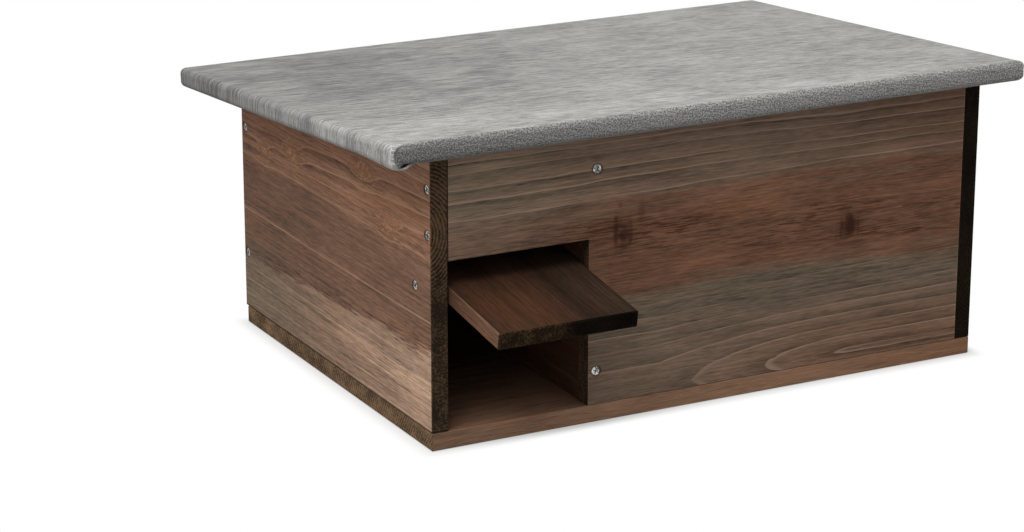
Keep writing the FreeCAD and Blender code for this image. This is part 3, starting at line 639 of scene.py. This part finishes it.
def zinc_finish(name, zinc, bloom_and_reflection_share, bloom_depth):
    """Zinc plate with a crystalline bloom, dull smears and grime, whose dark patches are partly painted dark
    reflection.
    """
    material, shader, spots = new_finish(name)
    place = spots["Object"].stretched(MM_PER_M, MM_PER_M, MM_PER_M)
    bloom_and_reflection = place.noise(0.9, 3.0, 0.6)
    smear_and_dark_reflection = place.noise(0.35, 2.0, 0.5)
    # Partly painted reflection: the dark patches of bloom and smears stand in for dark surroundings mirrored
    # in the metal
    colour = paint(bloom_and_reflection.step(0.4, 0.58) * bloom_and_reflection_share, zinc.bright[:], zinc.dull_and_dark_reflection[:])
    colour = paint(smear_and_dark_reflection.step(0.5, 0.7) * 0.5 * bloom_and_reflection_share, colour, dimmed(zinc.dull_and_dark_reflection, 0.4))
    finish_shader(shader, colour, 0.26 + smear_and_dark_reflection * 0.25 + bloom_and_reflection * 0.1, bloom_and_reflection, bloom_depth)
    shader.inputs["Metallic"].default_value = 1.0
    return material


# The angle between the felt's fibres and the roof's length
FIBRE_LAY = math.radians(10.0)


def felt_finish(felt):
    """Needled grey felt: fibres that follow the sheet round its edges, cloudy tone and speckle, and painted
    light and shade on its edges and towards the back left.
    """
    material, shader, spots = new_finish("roof_felt")
    flat = spots["UV"].stretched(MM_PER_M, MM_PER_M, 0.0)
    u, v, _ = flat.parts()
    brushed = flat.node("ShaderNodeMapping", (), {"Vector": flat, "Rotation": (0.0, 0.0, FIBRE_LAY)})
    streak = brushed.stretched(0.03, 0.75, 1.0).noise(1.0, 4.0, 0.65, 0.15)
    fine = brushed.stretched(0.09, 1.3, 1.0).noise(1.0, 3.0, 0.7, 0.15)
    speckle = flat.stretched(1.25, 1.3, 1.0).noise(1.0, 2.0, 0.7)
    grit = flat.stretched(1.0, 1.05, 1.0).noise(1.0, 3.0, 0.75).step(0.36, 0.64)
    hair = flat.stretched(0.3, 1.0, 1.0).noise(1.0, 2.0, 0.6, 1.2)
    cloud = flat.stretched(0.012, 0.026, 1.0).noise(1.0, 4.0, 0.6, 0.6)
    lines = brushed.stretched(0.03, 0.6, 1.0).noise(1.0, 2.0, 0.6, 0.1)
    # lap: the side's layer that rims the front's left corner and the hem that hangs there, painted lighter
    # below
    lap = flat.node("ShaderNodeAttribute", {"attribute_name": "lap"}, out=2)
    nx, ny, _ = spots["Normal"].parts()
    # front: the front edge, which is painted darker below
    front = ((speckle - 0.5) * 0.9 - ny).step(-0.05, 0.5) * (1.0 - lap)
    side = (-1.0 * nx).step(0.3, 0.8)
    # far_left: the back left of the top, painted darker below
    far_left = u.step(90.0, -180.0) * v.step(-285.0, -110.0)
    tone = 0.45 + (streak - 0.5) * (2.6 + far_left * 2.4) + (fine - 0.5) * 3.8
    tone = tone + (cloud - 0.5) * (1.0 + far_left * 0.6)
    # The front edge gets speckle and a little painted shade
    tone = tone + (speckle - 0.5) * 1.3 + front * ((grit - 0.5) * 3.4 - 0.12)
    top = 1.0 - front - side
    tone = tone + top * (0.04 - lines.step(0.44, 0.3) * 0.5 + lines.step(0.57, 0.7) * 0.35)
    tone = tone + side * (
        (hair - 0.5) * 1.5 + (cloud - 0.5) * 0.8 - (streak - 0.5) * 0.8 - (fine - 0.5) * 1.2)
    # Painted light and shade: darker towards the back left and down the side towards the back, lighter near
    # the front of the top, on the lapped rim and on the left side, and darker on the front edge, most at its
    # left and low down
    light = 1.12 - far_left * 0.38 + v.step(-225.0, -300.0) * top * 0.14 + lap * 0.18 + side * 0.08
    light = light - front * (0.21 + u.step(20.0, -205.0) * 0.26 + v.step(-308.0, -313.0) * 0.1)
    light = light - side * v.step(-190.0, -20.0) * 0.2
    colour = shaded(paint(tone, felt.dark[:], felt.light[:]), light)
    finish_shader(shader, colour, 0.88 + fine * 0.1, fine * 0.5 + speckle * 0.7 + streak * 0.4, 0.6 * MM)
    shader.inputs["Specular IOR Level"].default_value = 0.2
    shader.inputs["Sheen Weight"].default_value = 0.08
    return material


def deselect():
    """Leaves edit mode and selects nothing."""
    if bpy.context.object and bpy.context.object.mode != "OBJECT":
        bpy.ops.object.mode_set(mode="OBJECT")
    bpy.ops.object.select_all(action="DESELECT")


def select_faces(mesh, test):
    """Selects the faces whose middle and normal pass a test, from object mode."""
    for item in (*mesh.vertices, *mesh.edges):
        item.select = False
    for face in mesh.polygons:
        face.select = test(face.center / MM, face.normal)


def cut(axis, places):
    """Cuts the mesh in edit mode across planes square to an axis."""
    normal = Vector((axis == "x", axis == "y", axis == "z"))
    for place in places:
        bpy.ops.mesh.select_all(action="SELECT")
        bpy.ops.mesh.bisect(plane_co=normal * place * MM, plane_no=normal, use_fill=False)


# Where the felt is cut into faces, from each edge inwards, between those cuts and up its sides, and how its
# edges are rounded
EDGE_CUTS = (0.7, 1.4, 2.2, 3.2, 4.8, 5.8, 7.0, 8.2, 9.6, 11.0, 13.0, 16.0, 22.0, 30.0, 42.0)
CUT_PITCH = 22.0
SIDE_CUTS = (3.6, 4.5, 5.4, 6.3, 7.2)
EDGE_RADIUS = 4.0
EDGE_STEPS = 7
SMOOTH_ANGLE = math.radians(40.0)

# Where the hem comes away at the front's left end: its height, and its reach from the left edge
LIP_HEIGHT = EDGE_RADIUS * (1.0 - math.sin(math.radians(3 * 90.0 / EDGE_STEPS))) - FELT
LIP_REACH = (4.8, 16.0)

# The end of the front's layer at the left corner, with the side's layer as a rim round it: its radius and how
# far its middle is from the left edge
RIM_RADIUS = 6.0
RIM_MIDDLE = 8.2

# How square the left and right corners are, and the height and pitch of the felt's swell on top
LEFT_SQUARE = 3.0
RIGHT_SQUARE = 6.0
SWELL = 0.3
SWELL_PITCH = 60.0


def edge_cuts(low, high):
    """Places of the cuts between two edges, close together near both."""
    inner = max(EDGE_CUTS)
    count = round((high - low - 2 * inner) / CUT_PITCH)
    middle = [low + inner + (high - low - 2 * inner) * i / count for i in range(1, count)]
    return [low + c for c in EDGE_CUTS] + middle + [high - c for c in EDGE_CUTS]


def wrap_uv(mesh):
    """Lays the sheet flat: top places, plus the run down and under each edge."""
    layer = mesh.uv_layers.new(name="flat_sheet")
    for face in mesh.polygons:
        middle = face.center / MM
        normal = face.normal
        gaps = {
            "left": middle.x + ROOF_HALF, "right": ROOF_HALF - middle.x,
            "front": middle.y - ROOF_FRONT, "back": ROOF_BACK - middle.y,
        }
        side = min(gaps, key=gaps.get)
        for loop in face.loop_indices:
            spot = mesh.vertices[mesh.loops[loop].vertex_index].co / MM
            u, v = spot.x, spot.y
            if normal.z < 0.95:
                drop = FELT_TOP - spot.z
                under = normal.z < -0.7
                if side == "left":
                    u = -ROOF_HALF - drop - ((spot.x + ROOF_HALF) if under else 0.0)
                elif side == "right":
                    u = ROOF_HALF + drop + ((ROOF_HALF - spot.x) if under else 0.0)
                elif side == "front":
                    v = ROOF_FRONT - drop - ((spot.y - ROOF_FRONT) if under else 0.0)
                else:
                    v = ROOF_BACK + drop + ((ROOF_BACK - spot.y) if under else 0.0)
            layer.data[loop].uv = (u * MM, v * MM)


def soft_step(low, high, value):
    """0 at low, 1 at high, smooth between, either way round."""
    t = min(1.0, max(0.0, (value - low) / (high - low)))
    return t * t * (3.0 - 2.0 * t)


def lip_edges(mesh):
    """Selects the edges low on the front's left end where the hem comes away, from object mode."""
    spots = [vertex.co / MM for vertex in mesh.vertices]
    for item in (*mesh.vertices, *mesh.polygons):
        item.select = False
    for edge in mesh.edges:
        ends = [spots[i] for i in edge.vertices]
        edge.select = all(
            abs(end.z - LIP_HEIGHT) < 0.05 and end.y < ROOF_FRONT + 2.0
            and LIP_REACH[0] - 0.05 < end.x + ROOF_HALF < LIP_REACH[1] + 0.05 for end in ends)


def fold_corners(mesh, fold, droop):
    """Squares the corners, laps the side over the front's left end and lets the hem hang open there."""
    # lap marks the rim and the loose hem, which the felt's material paints lighter
    lap = mesh.attributes.new("lap", "FLOAT", "POINT")
    hem = {i for face in mesh.polygons if face.center.z / MM < LIP_HEIGHT for i in face.vertices}
    for vertex in mesh.vertices:
        spot = vertex.co / MM
        left = spot.x < 0.0
        gap_x = ROOF_HALF - abs(spot.x)
        front = spot.y < (ROOF_FRONT + ROOF_BACK) / 2
        gap_y = spot.y - ROOF_FRONT if front else ROOF_BACK - spot.y
        out_x = -1.0 if left else 1.0
        out_y = -1.0 if front else 1.0
        corner = gap_x < EDGE_RADIUS and gap_y < EDGE_RADIUS
        move = Vector((0.0, 0.0, 0.0))
        if corner:
            # Pull the rounded corner outwards into a squarer one
            dx, dy = EDGE_RADIUS - gap_x, EDGE_RADIUS - gap_y
            away = math.hypot(dx, dy)
            power = LEFT_SQUARE if left else RIGHT_SQUARE
            square = (abs(dx / away) ** power + abs(dy / away) ** power) ** (-1.0 / power)
            pull = (square - 1.0) * soft_step(0.0, EDGE_RADIUS, away)
            move += Vector((out_x * dx * pull, out_y * dy * pull, 0.0))
        if front and left:
            # The side's layer makes a rim round the end of the front one
            inner = RIM_RADIUS - math.hypot(max(0.0, RIM_MIDDLE - gap_x), spot.z - BOARD_TOP / 2)
            rim = soft_step(0.9, -0.4, inner) * soft_step(20.0, 9.0, gap_x)
            rim *= soft_step(EDGE_RADIUS, 2.6, gap_y)
            move.y -= fold / MM * rim
            lap.data[vertex.index].value = rim
            # The hem hangs away below the split, and the edge above follows it only at the split's end
            loose = soft_step(17.0, 9.0, gap_x) * soft_step(45.0, 1.0, gap_y)
            sag = (0.6 + 0.4 * soft_step(0.0, 8.0, gap_x)) * loose * soft_step(4.5, LIP_HEIGHT, spot.z)
            if vertex.index in hem:
                lap.data[vertex.index].value = max(rim, loose)
            else:
                sag *= soft_step(LIP_REACH[0] + 5.0, LIP_REACH[0], gap_x)
            move.z -= droop / MM * sag
        elif front and corner:
            # The top of the front's right corner stands out a little
            move.x += soft_step(6.0, FELT_TOP, spot.z)
        if spot.z > FELT_TOP - 0.2:
            place = Vector((spot.x / SWELL_PITCH, spot.y / SWELL_PITCH, 3.0 + out_x))
            swell = 0.5 + 0.5 * noise.noise(place)
            move.z += SWELL * swell * soft_step(0.0, 12.0, min(gap_x, gap_y))
        vertex.co = (spot + move) * MM


class HOUSE_OT_wrap_felt(bpy.types.Operator):
    """Wrap the felt over the roof board, round its edges and under them"""

    bl_idname = "hedgehog_house.wrap_felt"
    bl_label = "Wrap Roof Felt"

    def execute(self, context):
        settings = context.scene.roof_felt
        deselect()
        middle = Vector((0.0, (ROOF_FRONT + ROOF_BACK) / 2, (FELT_TOP - FELT) / 2))
        size = Vector((2 * ROOF_HALF, ROOF_BACK - ROOF_FRONT, FELT_TOP + FELT))
        low_x, high_x, low_y, high_y = HEM_WINDOW
        bpy.ops.mesh.primitive_cube_add(size=1.0, calc_uvs=False, location=middle * MM)
        felt = context.object
        felt.name = "roof_felt_sheet"
        felt.scale = size * MM
        bpy.ops.object.transform_apply(location=True, rotation=True, scale=True)
        bpy.ops.object.mode_set(mode="EDIT")
        bpy.ops.mesh.select_all(action="SELECT")
        bpy.ops.mesh.bevel(offset=EDGE_RADIUS * MM, segments=EDGE_STEPS, affect="EDGES")
        cut("x", edge_cuts(-ROOF_HALF, ROOF_HALF) + [low_x, high_x])
        cut("y", edge_cuts(ROOF_FRONT, ROOF_BACK) + [low_y, high_y])
        cut("z", SIDE_CUTS)
        bpy.ops.object.mode_set(mode="OBJECT")
        select_faces(felt.data, lambda c, n: n.z < -0.9 and low_x < c.x < high_x and low_y < c.y < high_y)
        bpy.ops.object.mode_set(mode="EDIT")
        bpy.ops.mesh.select_mode(type="FACE")
        bpy.ops.mesh.delete(type="FACE")
        bpy.ops.object.mode_set(mode="OBJECT")
        wrap_uv(felt.data)
        lip_edges(felt.data)
        bpy.ops.object.mode_set(mode="EDIT")
        bpy.ops.mesh.select_mode(type="EDGE")
        bpy.ops.mesh.edge_split(type="EDGE")
        bpy.ops.object.mode_set(mode="OBJECT")
        fold_corners(felt.data, settings.fold, settings.droop)
        wall = felt.modifiers.new("felt_thickness", "SOLIDIFY")
        wall.thickness = settings.thickness
        wall.offset = -1.0
        bpy.ops.object.modifier_apply(modifier=wall.name)
        bpy.ops.object.shade_smooth_by_angle(angle=SMOOTH_ANGLE)
        felt.data.transform(ROOF_PLACE)
        felt.data.materials.append(felt_finish(settings))
        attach(felt, "roof")
        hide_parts("roof_felt")
        return {"FINISHED"}


class HOUSE_OT_stain_boards(bpy.types.Operator):
    """Stain the boards, each with its own grain"""

    bl_idname = "hedgehog_house.stain_boards"
    bl_label = "Stain Boards"

    def execute(self, context):
        for name in BOARDS:
            dress(stained_board(name, context.scene.board_stain), name)
        return {"FINISHED"}


class HOUSE_OT_plate_hardware(bpy.types.Operator):
    """Plate the screws, staples and hinges: the screws have more dark patches, partly weathering and partly
    painted dark reflection
    """

    bl_idname = "hedgehog_house.plate_hardware"
    bl_label = "Plate Hardware"

    def execute(self, context):
        zinc = context.scene.zinc_plate
        screws = [name for name in NODES if "screw" in name]
        others = [name for name in NODES if name not in screws and ("hinge" in name or "staples" in name)]
        dress(zinc_finish("zinc_screws", zinc, 1.0, 0.3 * MM), *screws)
        dress(zinc_finish("zinc_plate", zinc, 0.4, 0.05 * MM), *others)
        return {"FINISHED"}


def seen_directly(source):
    """1 for rays from the eye, also by way of metal or glass."""
    kinds = ("Is Camera Ray", "Is Glossy Ray", "Is Transmission Ray")
    camera, glossy, clear = source.node("ShaderNodeLightPath", out=kinds)
    return camera.largest(glossy).largest(clear)


class HOUSE_OT_set_stage(bpy.types.Operator):
    """Set the floor, the light and the camera"""

    bl_idname = "hedgehog_house.set_stage"
    bl_label = "Set Stage"

    def execute(self, context):
        scene = context.scene
        stage = scene.studio_stage
        deselect()
        bpy.ops.mesh.primitive_grid_add(
            size=FLOOR_SIZE, x_subdivisions=8, y_subdivisions=8, location=(0.0, 0.0, -FLOOR_DROP))
        floor = context.object
        floor.name = "studio_floor"
        bpy.ops.object.transform_apply(location=True, rotation=True, scale=True)
        floor.data.materials.append(self.floor_finish(stage))
        self.light(scene, stage)
        data = bpy.data.cameras.new("view_camera")
        data.sensor_width = SENSOR
        data.lens = stage.lens
        data.clip_end = 50.0
        camera = bpy.data.objects.new("view_camera", data)
        scene.collection.objects.link(camera)
        camera.location = stage.camera_place
        fall, turn = stage.camera_fall, stage.camera_turn
        sight = Vector((math.sin(turn) * math.cos(fall), math.cos(turn) * math.cos(fall), -math.sin(fall)))
        camera.rotation_mode = "QUATERNION"
        camera.rotation_quaternion = sight.to_track_quat("-Z", "Y")
        scene.camera = camera
        scene.view_settings.view_transform = "Standard"
        return {"FINISHED"}

    def floor_finish(self, stage):
        """A pale floor that keeps the house's soft shadow and goes to white further off."""
        material, shader, spots = new_finish("studio_floor")
        shader.inputs["Roughness"].default_value = 1.0
        shader.inputs["Specular IOR Level"].default_value = 0.0
        direct = seen_directly(spots["Object"])
        colour = paint(direct, dimmed(stage.floor_colour, 0.42), stage.floor_colour[:])
        colour.into(shader.inputs["Base Color"])
        x, y, _ = spots["Object"].parts()
        off = distance((abs(x) - COVERED[0]).largest(0.0), (abs(y) - COVERED[1]).largest(0.0))
        white = (0.4 + off.step(0.0, 0.012) * 0.6) * direct
        glow = white.node("ShaderNodeEmission")
        matt = Field(white.tree, shader.outputs[0])
        mixed = white.node("ShaderNodeMixShader", (), {0: white, 1: matt, 2: glow})
        mixed.into(white.tree.nodes["Material Output"].inputs["Surface"])
        return material

    def light(self, scene, stage):
        """Even light from all round and one large soft lamp above the left side."""
        world = bpy.data.worlds.new("studio")
        world.use_nodes = True
        back = world.node_tree.nodes["Background"]
        direct = seen_directly(Field(world.node_tree, back.outputs[0]))
        paint(direct, (stage.sky,) * 3, (1.0, 1.0, 1.0)).into(back.inputs["Color"])
        scene.world = world
        data = bpy.data.lights.new("key", "AREA")
        data.shape = "DISK"
        data.size = LAMP_SIZE
        data.energy = stage.key
        lamp = bpy.data.objects.new("key", data)
        lamp.location = LAMP_PLACE
        lamp.rotation_euler = (LAMP_AIM - LAMP_PLACE).to_track_quat("-Z", "Y").to_euler()
        scene.collection.objects.link(lamp)


class HOUSE_PT_finishes(bpy.types.Panel):
    """Lists the steps and the settings that they use"""

    bl_idname = "HOUSE_PT_finishes"
    bl_label = "Hedgehog House"
    bl_space_type = "VIEW_3D"
    bl_region_type = "UI"
    bl_category = "Hedgehog House"

    def draw(self, context):
        for operator in OPERATORS:
            self.layout.operator(operator.bl_idname)
        for group, settings in SETTINGS.items():
            column = self.layout.column()
            for name in settings.__annotations__:
                column.prop(getattr(context.scene, group), name)


SETTINGS = {
    "board_stain": BoardStain,
    "roof_felt": RoofFelt,
    "zinc_plate": ZincPlate,
    "studio_stage": StudioStage,
}
OPERATORS = (HOUSE_OT_stain_boards, HOUSE_OT_plate_hardware, HOUSE_OT_wrap_felt, HOUSE_OT_set_stage)
CLASSES = (*SETTINGS.values(), *OPERATORS, HOUSE_PT_finishes)


def register():
    for cls in CLASSES:
        bpy.utils.register_class(cls)
    for group, settings in SETTINGS.items():
        setattr(bpy.types.Scene, group, PointerProperty(type=settings))


def unregister():
    for group in SETTINGS:
        delattr(bpy.types.Scene, group)
    for cls in reversed(CLASSES):
        bpy.utils.unregister_class(cls)


def main():
    register()
    bpy.ops.hedgehog_house.stain_boards()
    bpy.ops.hedgehog_house.plate_hardware()
    bpy.ops.hedgehog_house.wrap_felt()
    bpy.ops.hedgehog_house.set_stage()


if __name__ == "__main__":
    main()
